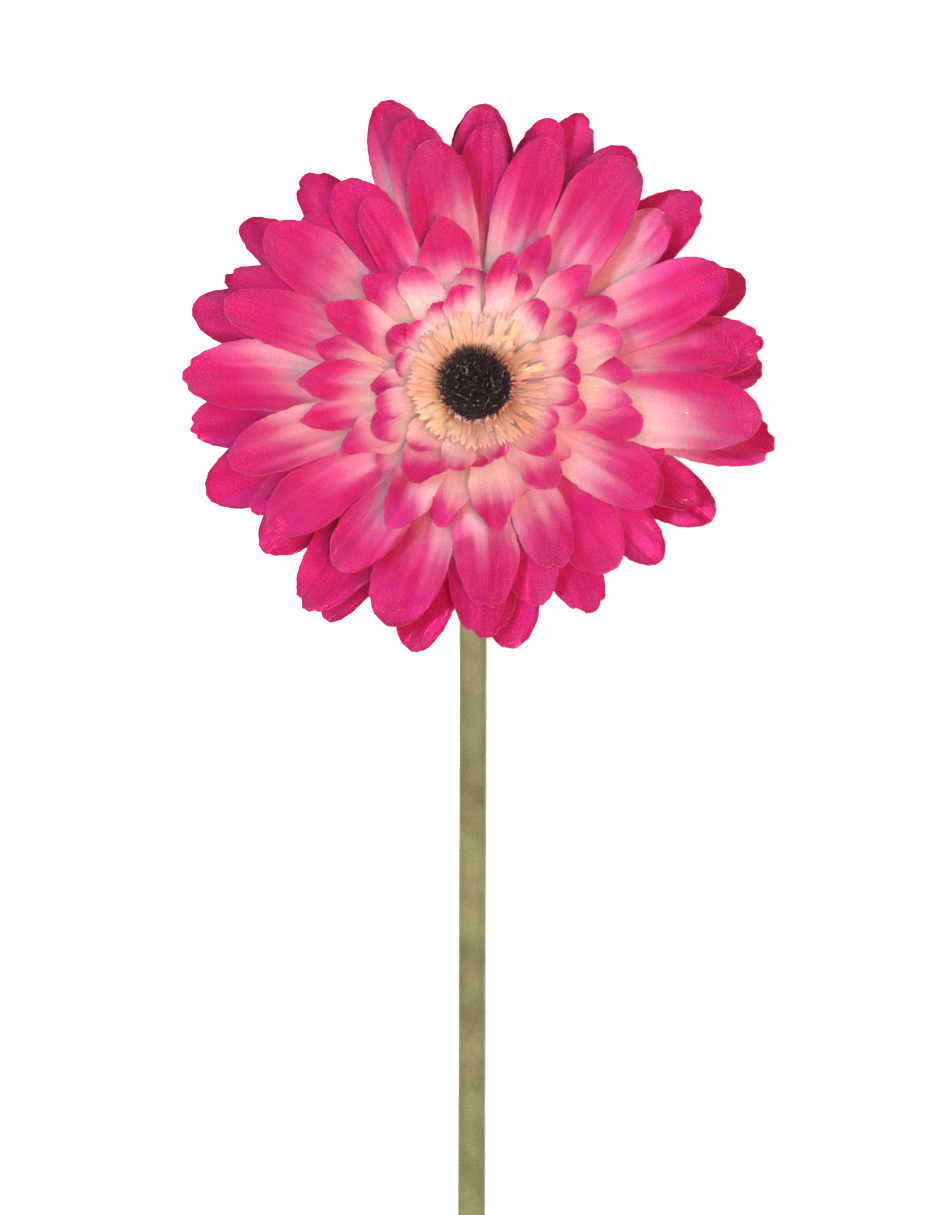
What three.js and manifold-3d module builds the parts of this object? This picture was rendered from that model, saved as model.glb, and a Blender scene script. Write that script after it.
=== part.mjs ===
// A cut gerbera laid on a table: a cloth-petalled head that faces up on a stem bent over at the neck.
// Eight petal layers are threaded on the floret ring's peg, and the peg sits in the green calyx.
// Millimetres, +Z up, stem along -Y, origin under the middle of the whole flower.

import * as THREE from 'three';
import { mergeVertices } from 'three/addons/utils/BufferGeometryUtils.js';
import Module from 'manifold-3d';

const wasm = await Module();
wasm.setup();

// Head. Heights in it are measured along its axis, from the underside of the lowest petal layer.
const HEAD_TILT = THREE.MathUtils.degToRad(16);
const HEAD_HEIGHT = 18.56;
const CLEARANCE = 0.3;

// Petal layers: cloth thickness, spacing, and the washer that holds a layer's petals together.
const CLOTH = 0.62;
const LAYER_PITCH = 1.0;
const WASHER_RADIUS = 7.0;
const WASHER_HOLE = 1.95;
const WASHER_SIDES = 30;
const HOLE_SIDES = 12;
const PETAL_ROOT = 5.6;
const SLIT = 0.3;
const VIEW_CENTRE_HEIGHT = 12.8;

// Petal shape, as fractions of a petal's length and half width.
const ROOT_SHARE = 0.42;
const WIDEST_AT = 0.64;
const TIP_BLUNTNESS = 2.4;
const SHOULDER_AT = 0.6;
const NOTCH_AT = 0.972;
const TROUGH_FROM = 0.12;
const TROUGH_FULL = 0.6;
const WIDEST_PARTING = 40;
const LEAST_HALF_WIDTH = 0.2;
const LARGE_ROWS = [0, 0.24, 0.5, 0.77, 0.945];
const SMALL_ROWS = [0, 0.33, 0.68, 0.93];
const LARGE_TROUGH = 0.7;
const SMALL_TROUGH = 0.5;

// Every petal: tip angle, tip distance, width, lift of the tip, and 1 for a notched tip.
// Angle, distance and width are as seen from straight above, from the middle of the dark pile.
const LAYERS = [
  { name: 'petal_layer_1', cup: -1.0, large: true, petals: [
    [2.5, 57, 12, 0, 0], [20.8, 57.4, 13, -0.4, 0], [40, 58, 14.2, 0.3, 1], [68.5, 58, 11.6, -0.7, 1],
    [88.5, 55.8, 13.4, 0.4, 0], [108, 59.2, 14.5, 0, 0], [130, 53.6, 12.5, 0.3, 1], [145.8, 56.5, 12, -0.6, 0],
    [165.4, 58.3, 13, 0, 0], [189.2, 57.6, 13.6, -0.5, 1], [218.3, 54, 13.5, 0.2, 0], [238, 55.8, 10.5, -0.8, 0],
    [257, 54.8, 13, -0.3, 0], [278, 53.4, 15, 0.2, 0], [297, 51.2, 12.6, 0, 1], [330, 54.3, 12.8, 0, 0]] },
  { name: 'petal_layer_2', cup: 1.5, large: true, petals: [
    [7.6, 57.6, 13.8, 0.2, 1], [57, 55.7, 14.5, 0, 0], [74, 55, 11, -0.4, 0], [89, 54.6, 12.5, 0.3, 0],
    [136.5, 47.5, 10, 0, 0], [157, 54.2, 11.5, -0.3, 1], [202.8, 57.8, 14.3, 0, 0], [233.2, 56.6, 14.5, 0.2, 1],
    [272, 50.8, 14, 0, 1], [315.8, 51, 11.4, -0.6, 0], [331, 50, 12.5, 0.4, 1], [347.4, 60.6, 16, -0.5, 1]] },
  { name: 'petal_layer_3', cup: 4.0, large: true, petals: [
    [6, 52.3, 13.5, 0, 0], [41, 50.4, 13, 0, 0], [88, 51.5, 10.5, -0.3, 0], [104.5, 54.6, 13, -0.4, 0],
    [124, 48.2, 13, 0, 0], [144, 51.5, 14, 0.2, 0], [178.9, 58.3, 14.8, 0, 1], [210, 51.4, 9, -0.5, 0],
    [250.5, 51.5, 14.5, 0.3, 0], [286, 46, 12, -0.3, 0], [306, 46.2, 14.5, 0, 0], [337, 40.3, 10, 0.3, 0]] },
  { name: 'petal_layer_4', cup: 6.5, large: true, petals: [
    [23, 54, 14.5, 0.5, 0], [55, 53.5, 15.5, 0.8, 0], [73.5, 50, 13, 1.4, 0], [101, 48.8, 13, 1.0, 0],
    [121.5, 42, 9.5, 1.6, 0], [163, 52.3, 11.5, 0.8, 0], [199, 51.6, 13, 1.2, 0], [216, 50, 14, 0.6, 0],
    [234.5, 46.6, 12.5, 1.5, 0], [273.5, 45.4, 13, 1.6, 1], [294, 40.8, 12, 1.2, 1], [326.5, 43.3, 13.5, 1.8, 0],
    [351.5, 57, 16, 0.8, 0]] },
  { name: 'petal_layer_5', cup: 10, large: false, petals: [
    [2.5, 31.3, 9, 0, 0], [29, 31.7, 9, 0.3, 0], [102, 33.6, 12.5, 0.5, 0], [137, 30.7, 10, 0, 0],
    [168, 32.7, 8, 0.3, 0], [193, 35.6, 9, 0, 0], [223, 26, 7.5, 0.2, 0], [256.5, 29.6, 8, 0, 0],
    [291, 24.7, 8.5, 0, 0], [320, 23.8, 7.5, 0, 0], [344, 34.4, 9.5, 0.4, 0]] },
  { name: 'petal_layer_6', cup: 13.5, large: false, petals: [
    [16, 30.2, 8.5, 0.3, 0], [45, 32.3, 9.5, 0.4, 0], [63.5, 32.6, 7, 0.2, 0], [93, 22.6, 8, 0, 0],
    [122, 26.2, 8, 0.2, 0], [154, 33.6, 8.5, 0.4, 0], [181, 35.4, 9, 0.3, 0], [208, 30.2, 8.5, 0, 0],
    [240, 34.4, 9.5, 0.6, 0], [278, 30.8, 8.5, 0.4, 0], [306.5, 26.2, 9, 0.2, 0], [352, 31.3, 7, 0.3, 0]] },
  { name: 'petal_layer_7', cup: 17.5, large: false, petals: [
    [1, 20.8, 6.5, 0, 0], [33, 23.2, 8.5, 0.2, 0], [65, 23.4, 7, 0.2, 0], [119, 17.4, 6, 0, 0],
    [152, 20, 7, 0.2, 0], [184, 20.7, 6.5, 0, 0], [208, 22.8, 8, 0.2, 0], [237, 23.8, 8.5, 0, 0],
    [272, 17, 7, 0, 0], [316, 20.7, 7, 0, 0], [342.5, 22.6, 7, 0.2, 0]] },
  { name: 'petal_layer_8', cup: 21.5, large: false, petals: [
    [17, 20.8, 7, 0.2, 0], [49, 20.6, 7, 0, 0], [75, 26.2, 6, 0.4, 0], [100, 19.4, 7, 0, 0],
    [142, 17.2, 6, 0, 0], [168, 16.4, 6, 0, 0], [197, 20.4, 6, 0.2, 0], [228, 18.4, 7, 0, 0],
    [256, 18.2, 7, 0, 0], [285, 16, 6, 0, 0], [331, 18.2, 6, 0, 0], [350, 20.5, 6.5, 0.2, 0]] },
];

// Floret ring: a moulded saucer with rows of forked florets on its flange and a peg under it.
const RING_SEAT = LAYERS.length * LAYER_PITCH + CLEARANCE;
const RING_THICKNESS = 0.8;
const RING_RADIUS = 9.2;
const FLANGE_RISE = 26;
const PEG_RADIUS = 1.6;
const PEG_DEPTH = 4.0;
const FLORET_THICKNESS = 0.7;
const FLORET_ROWS = [
  { count: 20, foot: 8.5, length: 6.8, rise: 25, root: 2.0, tip: 1.9, turn: 0 },
  { count: 18, foot: 8.2, length: 5.2, rise: 45, root: 1.9, tip: 1.8, turn: 9 },
  { count: 15, foot: 8.1, length: 3.8, rise: 70, root: 1.8, tip: 1.6, turn: 3 },
];
const FORK_DEPTH = 0.3;

// Pile: a dark dome of short tufts inside the florets.
const PILE_RADIUS = 7.2;
const PILE_SHOULDER = 1.2;
const PILE_HEIGHT = 3.4;
const PILE_SIDES = 22;
const PILE_STEPS = 5;
const TUFT_COUNT = 54;
const TUFT_RADIUS = 0.8;
const TUFT_LENGTH = 2.0;
const TUFT_SUNK = 1.0;
const TUFT_LEAN = 0.7;
const TUFTED_SHARE = 0.93;
const GOLDEN_ANGLE = Math.PI * (3 - Math.sqrt(5));

// Calyx: a green cup of two rows of bracts, with a bore for the peg and a socket for the stem.
const CALYX_TOP = -0.4;
const CALYX_DEPTH = 10;
const CALYX_RIM = 8.6;
const CALYX_FOOT = 4.2;
const CALYX_WAIST = 5.2;
const CALYX_WAIST_AT = 0.25;
const CALYX_BELLY = 7.2;
const CALYX_BELLY_AT = 0.7;
const CALYX_LIP = 0.6;
const CALYX_BEVEL = 0.4;
const SOCKET_DEPTH = 4.2;
const BRACT_ROWS = [
  { count: 12, foot: -9.6, head: -1.2, footRadius: 4.0, headRadius: 10.4, width: 3.6, turn: 0 },
  { count: 10, foot: -10.0, head: -4.6, footRadius: 4.0, headRadius: 8.6, width: 3.6, turn: 15 },
];
const BRACT_THICKNESS = 0.8;
const BRACT_FOOT_SHARE = 0.7;
const BRACT_WIDEST_AT = 0.55;

// Stem: twelve flat sides, one of them on the table; a short bend under the head, then a long run.
const STEM_WIDTH = 5.4;
const STEM_SIDES = 12;
const STEM_RUN = 400;
const NECK_SWAY = -0.45;
const RUN_SWAY = -1.2;
const NECK_STATIONS = 12;
const RUN_STATIONS = 14;

const SIN_TILT = Math.sin(HEAD_TILT);
const COS_TILT = Math.cos(HEAD_TILT);
const { degToRad } = THREE.MathUtils;

// A closed three.js geometry as a solid that can be joined and cut.
function solidOf(geometry) {
  const bare = geometry.clone();
  bare.deleteAttribute('normal');
  bare.deleteAttribute('uv');
  const merged = mergeVertices(bare, 1e-4);
  return new wasm.Manifold(new wasm.Mesh({
    numProp: 3,
    vertProperties: Float32Array.from(merged.attributes.position.array),
    triVerts: Uint32Array.from(merged.index.array),
  }));
}

// The joined solids' largest body, as a three.js geometry: sealed pockets and loose scraps are left out.
function geometryOf(solid) {
  const bodies = solid.decompose().sort((a, b) => b.volume() - a.volume());
  const mesh = bodies[0].getMesh();
  const geometry = new THREE.BufferGeometry();
  geometry.setAttribute('position', new THREE.Float32BufferAttribute(mesh.vertProperties, 3));
  geometry.setIndex(Array.from(mesh.triVerts));
  return geometry;
}

function joined(geometries) {
  return wasm.Manifold.union(geometries.map(solidOf));
}

// A disc or peg along the head's axis, from one height to another.
function cylinder(radius, bottom, top, sides) {
  const geometry = new THREE.CylinderGeometry(radius, radius, top - bottom, sides);
  geometry.rotateX(Math.PI / 2);
  geometry.translate(0, 0, (bottom + top) / 2);
  return geometry;
}

// A layer is flat under the florets and rises at its cup angle outside its washer.
function layerHeight(layer, radius) {
  return layer.seat + Math.max(0, radius - WASHER_RADIUS) * Math.tan(degToRad(layer.cup));
}

// The place in a layer of a point that is seen at an angle and distance from straight above.
function placeSeen(layer, angle, distance) {
  const x = distance * Math.cos(angle);
  const seenY = distance * Math.sin(angle);
  let y = seenY;
  for (let pass = 0; pass < 5; pass += 1) {
    const raised = layerHeight(layer, Math.hypot(x, y)) - VIEW_CENTRE_HEIGHT;
    y = (seenY - raised * SIN_TILT) / COS_TILT;
  }
  return new THREE.Vector2(x, y);
}

// The petal's midline in plan, from its root in the washer over its shoulder to its tip.
function petalAxis(layer, [angleDeg, distance]) {
  const angle = degToRad(angleDeg);
  const tip = placeSeen(layer, angle, distance);
  const shoulder = placeSeen(layer, angle, WASHER_RADIUS + SHOULDER_AT * (distance - WASHER_RADIUS));
  const root = shoulder.clone().setLength(PETAL_ROOT);
  const side = SHOULDER_AT * (1 - SHOULDER_AT) * 2;
  const control = shoulder.clone()
    .addScaledVector(root, -((1 - SHOULDER_AT) ** 2))
    .addScaledVector(tip, -(SHOULDER_AT ** 2))
    .divideScalar(side);
  return new THREE.QuadraticBezierCurve(root, control, tip);
}

// Half the petal's width along its length, as a share of the widest half width.
function petalProfile(along) {
  if (along < WIDEST_AT) {
    return THREE.MathUtils.lerp(ROOT_SHARE, 1, THREE.MathUtils.smoothstep(along, 0, WIDEST_AT));
  }
  const past = (along - WIDEST_AT) / (1 - WIDEST_AT);
  return Math.sqrt(1 - past ** TIP_BLUNTNESS);
}

// The rays from the washer's middle that part a petal from its neighbours in the same layer.
function partingRays(axes, petals, index) {
  const angleOf = (axis) => Math.atan2(axis.v0.y, axis.v0.x);
  const own = angleOf(axes[index]);
  return [1, -1].map((side) => {
    const neighbour = (index + side + petals.length) % petals.length;
    const turn = 2 * Math.PI;
    const gap = (((angleOf(axes[neighbour]) - own) * side) % turn + turn) % turn;
    const share = petals[index][2] / (petals[index][2] + petals[neighbour][2]);
    return own + side * Math.min(gap * share, degToRad(WIDEST_PARTING));
  });
}

// Half width on one side, cut back where it would cross the parting ray on that side.
function trimmedHalfWidth(half, centre, across, side, ray) {
  const outward = new THREE.Vector2(-Math.sin(ray), Math.cos(ray)).multiplyScalar(side);
  const room = (-SLIT / 2 - outward.dot(centre)) / (outward.dot(across) * side);
  return Math.min(half, Math.max(room, LEAST_HALF_WIDTH));
}

// One petal: a troughed blade, a grid of rows along it and columns across it on both faces.
function petalBlade(layer, axes, index) {
  const petal = layer.petals[index];
  const [angleDeg, , width, lift, notched] = petal;
  const rows = layer.large ? LARGE_ROWS : SMALL_ROWS;
  const columns = layer.large ? [-1, -1 / 3, 1 / 3, 1] : [-1, 0, 1];
  const trough = layer.large ? LARGE_TROUGH : SMALL_TROUGH;
  const rays = partingRays(axes, layer.petals, index);
  const angle = degToRad(angleDeg);
  const halfWidth = (width / 2) * Math.hypot(Math.sin(angle), Math.cos(angle) / COS_TILT);
  const thickness = CLOTH / Math.cos(degToRad(layer.cup));
  const faces = [[], []];
  rows.forEach((along, row) => {
    const isTip = row === rows.length - 1;
    columns.forEach((q, column) => {
      const tipReach = notched && column === 1 ? NOTCH_AT : 1;
      const reach = isTip && Math.abs(q) < 1 ? tipReach : along;
      const centre = axes[index].getPoint(reach);
      const tangent = axes[index].getTangent(reach);
      const across = new THREE.Vector2(-tangent.y, tangent.x);
      const side = q < 0 ? -1 : 1;
      const ray = rays[q < 0 ? 1 : 0];
      const half = trimmedHalfWidth(halfWidth * petalProfile(along), centre, across, side, ray);
      const place = centre.clone().addScaledVector(across, half * q);
      const radius = place.length();
      const open = THREE.MathUtils.smoothstep(along, TROUGH_FROM, TROUGH_FULL);
      const height = layerHeight(layer, radius) + open * trough * (q * q - 1 / 2) + lift * along ** 3;
      faces[0].push([place.x, place.y, height + thickness]);
      faces[1].push([place.x, place.y, height]);
    });
  });
  return bladeGeometry(faces, rows.length, columns.length);
}

// A closed blade from its upper and lower grids of points, both split into triangles alike.
function bladeGeometry([upper, lower], rowCount, columnCount) {
  const geometry = new THREE.BufferGeometry();
  const points = [...upper, ...lower];
  const under = upper.length;
  const at = (row, column) => row * columnCount + column;
  const triangles = [];
  for (let row = 0; row < rowCount - 1; row += 1) {
    for (let column = 0; column < columnCount - 1; column += 1) {
      const [a, b] = [at(row, column), at(row + 1, column)];
      const [c, d] = [at(row + 1, column + 1), at(row, column + 1)];
      triangles.push(a, b, c, a, c, d);
      triangles.push(under + a, under + c, under + b, under + a, under + d, under + c);
    }
  }
  const border = [];
  for (let row = 0; row < rowCount - 1; row += 1) border.push(at(row, 0));
  for (let column = 0; column < columnCount - 1; column += 1) border.push(at(rowCount - 1, column));
  for (let row = rowCount - 1; row > 0; row -= 1) border.push(at(row, columnCount - 1));
  for (let column = columnCount - 1; column > 0; column -= 1) border.push(at(0, column));
  border.forEach((a, i) => {
    const b = border[(i + 1) % border.length];
    triangles.push(under + a, under + b, b, under + a, b, a);
  });
  geometry.setAttribute('position', new THREE.Float32BufferAttribute(points.flat(), 3));
  geometry.setIndex(triangles);
  return geometry;
}

// One cloth layer: a washer with all its petals.
function petalLayer(layer) {
  const thickness = CLOTH / Math.cos(degToRad(layer.cup));
  const washer = cylinder(WASHER_RADIUS, layer.seat, layer.seat + thickness, WASHER_SIDES);
  const hole = cylinder(WASHER_HOLE, layer.seat - 1, layer.seat + 2, HOLE_SIDES);
  const axes = layer.petals.map((petal) => petalAxis(layer, petal));
  const blades = layer.petals.map((_, index) => petalBlade(layer, axes, index));
  return geometryOf(joined([washer, ...blades]).subtract(solidOf(hole)));
}

// One floret: a thin tongue with a forked tip, its root sunk in the ring's disc.
function floret(row, turn) {
  const { foot, length, rise, root, tip } = row;
  const outline = new THREE.Shape([
    new THREE.Vector2(0, -root / 2),
    new THREE.Vector2(length, -tip / 2),
    new THREE.Vector2(length * (1 - FORK_DEPTH), 0),
    new THREE.Vector2(length, tip / 2),
    new THREE.Vector2(0, root / 2),
  ]);
  const geometry = new THREE.ExtrudeGeometry(outline, { depth: FLORET_THICKNESS, bevelEnabled: false });
  geometry.translate(0, 0, -FLORET_THICKNESS / 2);
  geometry.rotateY(-degToRad(rise));
  geometry.translate(foot, 0, RING_SEAT + RING_THICKNESS / 2 + flangeHeight(foot));
  geometry.rotateZ(turn);
  return geometry;
}

// The saucer is flat on the top washer and rises outside it, clear of the innermost petals.
function flangeHeight(radius) {
  return Math.max(0, radius - WASHER_RADIUS) * Math.tan(degToRad(FLANGE_RISE));
}

function saucer() {
  const rim = RING_SEAT + flangeHeight(RING_RADIUS);
  const profile = [
    new THREE.Vector2(0, RING_SEAT),
    new THREE.Vector2(WASHER_RADIUS, RING_SEAT),
    new THREE.Vector2(RING_RADIUS, rim),
    new THREE.Vector2(RING_RADIUS, rim + RING_THICKNESS),
    new THREE.Vector2(PILE_RADIUS + 2 * CLEARANCE, RING_SEAT + RING_THICKNESS),
    new THREE.Vector2(0, RING_SEAT + RING_THICKNESS),
  ];
  const geometry = new THREE.LatheGeometry(profile, WASHER_SIDES);
  geometry.rotateX(Math.PI / 2);
  return geometry;
}

function floretRing() {
  const pegBottom = CALYX_TOP - PEG_DEPTH;
  const peg = cylinder(PEG_RADIUS, pegBottom, RING_SEAT + RING_THICKNESS / 2, HOLE_SIDES);
  const florets = FLORET_ROWS.flatMap((row) => Array.from({ length: row.count }, (_, i) => (
    floret(row, degToRad(row.turn) + (i * 2 * Math.PI) / row.count)
  )));
  return geometryOf(joined([saucer(), peg, ...florets]));
}

// The dome's surface height at a distance from its middle.
function pileHeight(radius) {
  const share = radius / PILE_RADIUS;
  return PILE_SHOULDER + (PILE_HEIGHT - PILE_SHOULDER) * (1 - share ** 2);
}

// One tuft of the pile, standing square to the dome.
function tuft(index) {
  const radius = PILE_RADIUS * TUFTED_SHARE * Math.sqrt((index + 0.5) / TUFT_COUNT);
  const turn = index * GOLDEN_ANGLE;
  const lean = (radius / PILE_RADIUS) * TUFT_LEAN;
  const geometry = new THREE.ConeGeometry(TUFT_RADIUS, TUFT_LENGTH, 3);
  geometry.rotateX(Math.PI / 2);
  geometry.translate(0, 0, TUFT_LENGTH / 2 - TUFT_SUNK);
  geometry.rotateY(lean);
  geometry.translate(radius, 0, pileHeight(radius));
  geometry.rotateZ(turn);
  return geometry;
}

function pile() {
  const profile = [new THREE.Vector2(0, 0), new THREE.Vector2(PILE_RADIUS - CLEARANCE, 0)];
  for (let i = PILE_STEPS; i > 0; i -= 1) {
    const radius = (PILE_RADIUS * i) / PILE_STEPS;
    profile.push(new THREE.Vector2(radius, pileHeight(radius)));
  }
  profile.push(new THREE.Vector2(0, PILE_HEIGHT));
  const dome = new THREE.LatheGeometry(profile, PILE_SIDES);
  dome.rotateX(Math.PI / 2);
  const tufts = Array.from({ length: TUFT_COUNT }, (_, index) => tuft(index));
  const geometry = geometryOf(joined([dome, ...tufts]));
  geometry.translate(0, 0, RING_SEAT + RING_THICKNESS + CLEARANCE);
  return geometry;
}

// One bract: a pointed scale that lies up the cup's side and stands off it at its tip.
function bract({ foot, head, footRadius, headRadius, width }, turn) {
  const length = Math.hypot(head - foot, headRadius - footRadius);
  const slope = Math.atan2(head - foot, headRadius - footRadius);
  const outline = new THREE.Shape([
    new THREE.Vector2(0, (-width / 2) * BRACT_FOOT_SHARE),
    new THREE.Vector2(length * BRACT_WIDEST_AT, -width / 2),
    new THREE.Vector2(length, 0),
    new THREE.Vector2(length * BRACT_WIDEST_AT, width / 2),
    new THREE.Vector2(0, (width / 2) * BRACT_FOOT_SHARE),
  ]);
  const geometry = new THREE.ExtrudeGeometry(outline, { depth: BRACT_THICKNESS, bevelEnabled: false });
  geometry.rotateY(-slope);
  geometry.translate(footRadius, 0, foot);
  geometry.rotateZ(turn);
  return geometry;
}

function calyx() {
  const bottom = CALYX_TOP - CALYX_DEPTH;
  const profile = [
    new THREE.Vector2(0, bottom),
    new THREE.Vector2(CALYX_FOOT, bottom),
    new THREE.Vector2(CALYX_WAIST, bottom + CALYX_DEPTH * CALYX_WAIST_AT),
    new THREE.Vector2(CALYX_BELLY, bottom + CALYX_DEPTH * CALYX_BELLY_AT),
    new THREE.Vector2(CALYX_RIM, CALYX_TOP - CALYX_LIP),
    new THREE.Vector2(CALYX_RIM - CALYX_BEVEL, CALYX_TOP),
    new THREE.Vector2(0, CALYX_TOP),
  ];
  const cup = new THREE.LatheGeometry(profile, 2 * STEM_SIDES);
  cup.rotateX(Math.PI / 2);
  const bracts = BRACT_ROWS.flatMap((row) => Array.from({ length: row.count }, (_, i) => (
    bract(row, degToRad(row.turn) + (i * 2 * Math.PI) / row.count)
  )));
  const bore = cylinder(PEG_RADIUS + CLEARANCE, CALYX_TOP - PEG_DEPTH - CLEARANCE, CALYX_TOP + 1, HOLE_SIDES);
  const socket = cylinder(STEM_WIDTH / 2 + 2 * CLEARANCE, bottom - 1, bottom + SOCKET_DEPTH, 2 * STEM_SIDES);
  return geometryOf(joined([cup, ...bracts]).subtract(solidOf(bore)).subtract(solidOf(socket)));
}

// The stem's midline: out of the socket, round the neck, then along the table to the cut end.
// Stations are evenly spaced in the parameter, so that most of them fall in the neck.
class StemLine extends THREE.Curve {
  constructor() {
    super();
    this.top = CALYX_TOP - CALYX_DEPTH + SOCKET_DEPTH - CLEARANCE;
    this.bendStart = CALYX_TOP - CALYX_DEPTH - CLEARANCE;
    this.bendAngle = Math.PI / 2 - HEAD_TILT;
    this.stations = 1 + NECK_STATIONS + RUN_STATIONS;
    const drop = HEAD_HEIGHT + this.bendStart * COS_TILT - STEM_WIDTH / 2;
    this.bendRadius = drop / (1 - Math.cos(this.bendAngle));
  }

  // A point on the head's axis, which leans back over the stem.
  onHeadAxis(height) {
    return new THREE.Vector3(0, height * SIN_TILT, HEAD_HEIGHT + height * COS_TILT);
  }

  getPoint(t, target = new THREE.Vector3()) {
    const station = t * this.stations;
    if (station < 1) {
      return target.copy(this.onHeadAxis(THREE.MathUtils.lerp(this.top, this.bendStart, station)));
    }
    const turned = Math.min((station - 1) / NECK_STATIONS, 1);
    const left = this.bendAngle * (1 - turned);
    const start = this.onHeadAxis(this.bendStart);
    const advance = this.bendRadius * (Math.sin(this.bendAngle) - Math.sin(left));
    const height = STEM_WIDTH / 2 + this.bendRadius * (1 - Math.cos(left));
    const run = Math.max((station - 1 - NECK_STATIONS) / RUN_STATIONS, 0);
    const sway = NECK_SWAY * turned + RUN_SWAY * run;
    return target.set(sway, start.y - advance - run * STEM_RUN, height);
  }

  getUtoTmapping(u) {
    return u;
  }
}

function stem() {
  const line = new StemLine();
  const corner = STEM_WIDTH / 2 / Math.cos(Math.PI / STEM_SIDES);
  const section = new THREE.Shape(Array.from({ length: STEM_SIDES }, (_, i) => {
    const angle = ((i + 0.5) * 2 * Math.PI) / STEM_SIDES;
    return new THREE.Vector2(corner * Math.cos(angle), corner * Math.sin(angle));
  }));
  return new THREE.ExtrudeGeometry(section, { steps: line.stations, extrudePath: line, bevelEnabled: false });
}

function piece(name, geometry, color, roughness) {
  const material = new THREE.MeshStandardMaterial({ color, roughness, metalness: 0 });
  const mesh = new THREE.Mesh(geometry, material);
  mesh.name = name;
  return mesh;
}

const head = new THREE.Group();
head.rotation.x = -HEAD_TILT;
head.position.z = HEAD_HEIGHT;
LAYERS.forEach((layer, index) => {
  layer.seat = index * LAYER_PITCH;
  head.add(piece(layer.name, petalLayer(layer), layer.large ? 0xe93a7c : 0xf08fb0, 0.85));
});
head.add(piece('floret_ring', floretRing(), 0xf3cfa4, 0.6));
head.add(piece('pile', pile(), 0x2b1618, 0.95));
head.add(piece('calyx', calyx(), 0x6f7a3d, 0.7));

const flower = new THREE.Group();
flower.add(head);
flower.add(piece('stem', stem(), 0x98945f, 0.9));

// The origin goes under the middle of the flower's box, at the table.
flower.updateMatrixWorld(true);
const box = new THREE.Box3().setFromObject(flower, true);
const middle = box.getCenter(new THREE.Vector3());
flower.position.set(-middle.x, -middle.y, -box.min.z);

export default flower;
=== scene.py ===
import math
import random

import bmesh
import bpy
from mathutils import Matrix, Vector, noise


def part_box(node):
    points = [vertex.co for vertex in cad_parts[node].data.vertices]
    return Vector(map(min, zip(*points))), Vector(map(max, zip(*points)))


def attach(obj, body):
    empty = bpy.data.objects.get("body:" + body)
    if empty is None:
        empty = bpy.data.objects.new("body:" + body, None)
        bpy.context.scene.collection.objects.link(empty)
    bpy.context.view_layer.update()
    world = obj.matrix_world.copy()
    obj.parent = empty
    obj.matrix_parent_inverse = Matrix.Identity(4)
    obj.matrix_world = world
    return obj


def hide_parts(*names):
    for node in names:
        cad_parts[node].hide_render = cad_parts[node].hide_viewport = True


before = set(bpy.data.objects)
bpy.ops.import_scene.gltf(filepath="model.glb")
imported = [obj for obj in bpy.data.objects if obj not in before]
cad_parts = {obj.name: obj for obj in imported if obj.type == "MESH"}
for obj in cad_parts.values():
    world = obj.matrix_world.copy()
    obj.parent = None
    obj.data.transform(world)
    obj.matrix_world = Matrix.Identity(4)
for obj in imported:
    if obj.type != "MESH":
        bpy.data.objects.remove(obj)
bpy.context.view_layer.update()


# ---- Where the head stands -------------------------------------------------------------------
# The stem lies along the table and bends up at the neck, so its box gives the head's place. Heights
# in the head are measured along its leaning axis, from the underside of the lowest petal layer.
MM = 0.001
HEAD_TILT = math.radians(16)
HEAD_HEIGHT = 18.56
STEM_WIDTH = 5.4
STEM_RUN = 400.0
CALYX_FOOT = -10.4
NECK_START = CALYX_FOOT - 0.3
NECK_TURN = math.pi / 2 - HEAD_TILT
SIN_TILT, COS_TILT = math.sin(HEAD_TILT), math.cos(HEAD_TILT)
NECK_RADIUS = (HEAD_HEIGHT + NECK_START * COS_TILT - STEM_WIDTH / 2) / (1 - math.cos(NECK_TURN))
NECK_ADVANCE = NECK_RADIUS * math.sin(NECK_TURN)

stem_low, stem_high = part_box("stem")
head_x = stem_high.x / MM - STEM_WIDTH / 2
head_y = stem_low.y / MM + STEM_RUN + NECK_ADVANCE - NECK_START * SIN_TILT
head_place = Vector((head_x, head_y, HEAD_HEIGHT))
HEAD_TO_TABLE = (Matrix.Translation(head_place * MM) @ Matrix.Rotation(-HEAD_TILT, 4, "X")
                 @ Matrix.Scale(MM, 4))


# ---- Camera, floor and lights ----------------------------------------------------------------
# The camera looks straight down from far off on white paper. A lamp from the upper left leaves
# shadows beside each petal, and a rosy one fills them as light does that comes through pink cloth.
# The stem has a lamp of its own in front of its cut end, which reaches in under the head.
PIXEL = 0.199
IMAGE_WIDTH, IMAGE_HEIGHT = 940, 1215
HEAD_COLUMN, HEAD_ROW = 476, 382
VIEW_CENTRE_HEIGHT = 12.8
SHARP_PLANE = 8.0
CAMERA_DISTANCE = 3500.0
CAMERA_SENSOR = 36.0

view_centre = HEAD_TO_TABLE @ Vector((0, 0, VIEW_CENTRE_HEIGHT))
camera_x = view_centre.x + (IMAGE_WIDTH / 2 - HEAD_COLUMN) * PIXEL * MM
camera_y = view_centre.y + (HEAD_ROW - IMAGE_HEIGHT / 2) * PIXEL * MM
camera_data = bpy.data.cameras.new("camera")
camera_data.sensor_width = CAMERA_SENSOR
camera_data.lens = CAMERA_SENSOR * CAMERA_DISTANCE / (IMAGE_HEIGHT * PIXEL)
camera_data.clip_start = 0.05
camera = bpy.data.objects.new("camera", camera_data)
camera.location = (camera_x, camera_y, (SHARP_PLANE + CAMERA_DISTANCE) * MM)
bpy.context.collection.objects.link(camera)
bpy.context.scene.camera = camera
bpy.context.scene.view_settings.view_transform = "Standard"


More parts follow.
